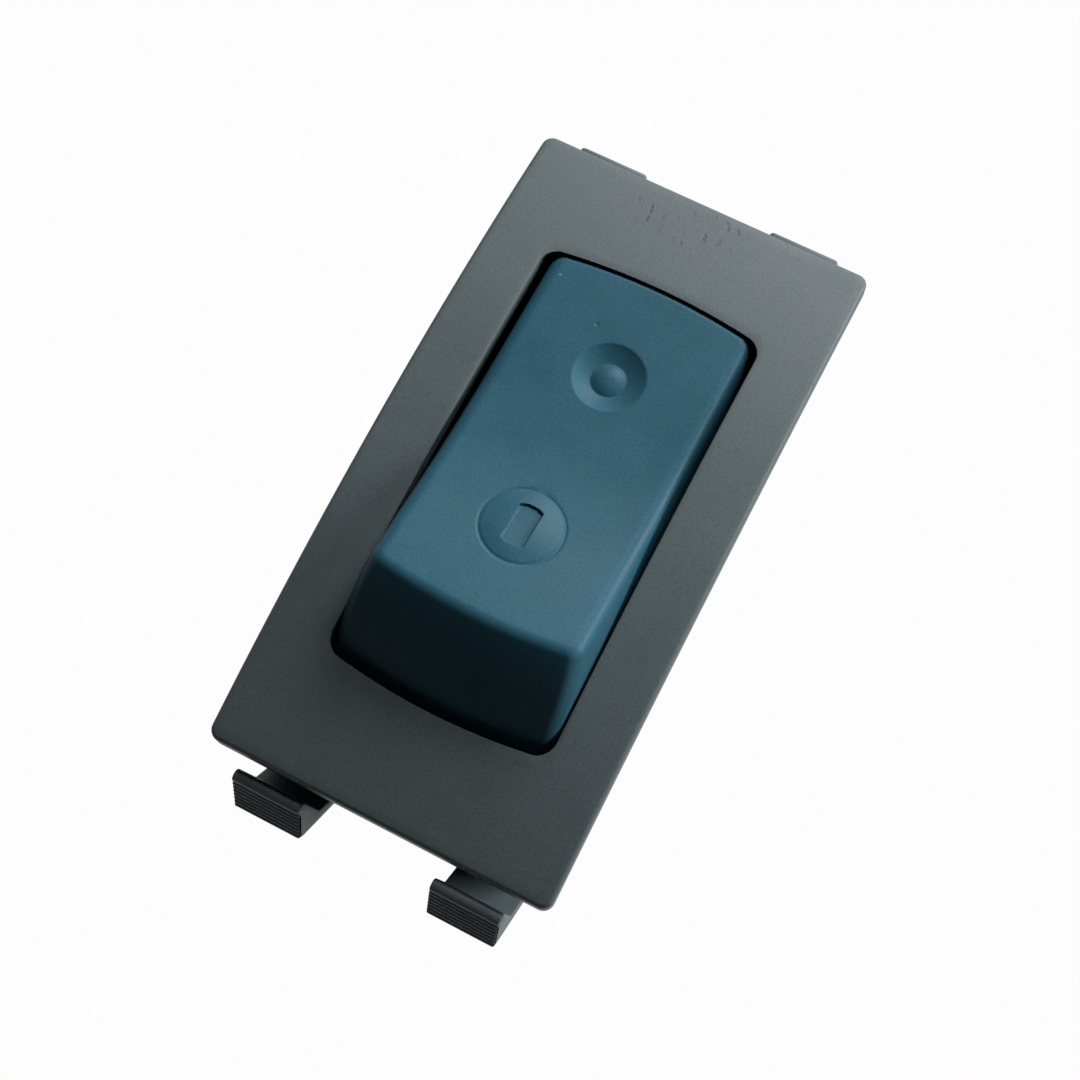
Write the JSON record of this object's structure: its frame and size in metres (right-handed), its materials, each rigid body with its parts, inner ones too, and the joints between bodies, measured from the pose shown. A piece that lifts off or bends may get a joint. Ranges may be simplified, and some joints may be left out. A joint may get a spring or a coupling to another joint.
{
  "type": "rocker switch",
  "caption": "Panel rocker switch: blue rocker with I and O marks in a grey arched clip-in bezel, working a snap-action micro switch in a screw-clamp housing.",
  "frame": {"origin": "middle of the seat plane, where the underside of the bezel's two short edges lands on its frame", "axes": "+Z out of the wall towards the user, +Y along the bezel towards the O end of the rocker, +X across the bezel along the rocker's pivot pin"},
  "size_m": [0.025, 0.0522, 0.0412],
  "materials": {
    "grey_plastic": "slate grey thermoplastic, fine satin grain",
    "blue_plastic": "petrol blue thermoplastic, fine satin grain",
    "housing_plastic": "black glass-filled nylon, matt",
    "cover_plastic": "dark grey glass-filled nylon, matt",
    "case_plastic": "black phenolic moulding, satin",
    "plunger_plastic": "red nylon, satin",
    "steel": "drawn steel pin",
    "plated_steel": "zinc-plated steel",
    "spring_steel": "rolled spring steel",
    "spring_copper": "beryllium copper strip",
    "contact_silver": "silver contact rivet",
    "brass": "plain brass"
  },
  "bodies": {
    "housing": {"bezel_plate": "grey_plastic", "pivot_pin": "steel", "switch_housing": "housing_plastic", "rear_cover": "cover_plastic", "cover_screws": "plated_steel", "detent_spring_left": "spring_steel", "detent_spring_right": "spring_steel", "micro_case": "case_plastic", "micro_cover": "case_plastic", "micro_screws": "plated_steel", "snap_blade": "spring_copper", "nc_contact": "contact_silver", "no_contact": "contact_silver", "common_terminal": "brass", "nc_terminal": "brass", "no_terminal": "brass", "common_bus": "brass", "nc_bus": "brass", "no_bus": "brass", "clamp_block_common": "brass", "clamp_block_no": "brass", "clamp_block_nc": "brass", "clamp_screws": "plated_steel"},
    "rocker": {"rocker_button": "blue_plastic"},
    "plunger": {"micro_plunger": "plunger_plastic"},
    "contact": {"moving_contact": "contact_silver"}
  },
  "joints": [
    {"name": "rocker_hinge", "type": "hinge", "parent": "housing", "child": "rocker", "pos_m": [0, 0, -0.0087], "axis": [1, 0, 0], "range_deg": [0, 24.4], "deforming": ["detent_spring_left", "detent_spring_right"]},
    {"name": "plunger_slide", "type": "slide", "parent": "housing", "child": "plunger", "axis": [0, 0, 1], "range_m": [-0.00127, 0], "deforming": ["snap_blade"]},
    {"name": "contact_slide", "type": "slide", "parent": "housing", "child": "contact", "axis": [0, 0, 1], "range_m": [-0.000601, 0], "deforming": ["snap_blade"]}
  ],
  "couplings": [
    {"joint": "plunger_slide", "follows": "rocker_hinge", "m_per_rad": -0.0029774},
    {"joint": "contact_slide", "follows": "rocker_hinge", "m_per_rad": -0.0014089}
  ]
}
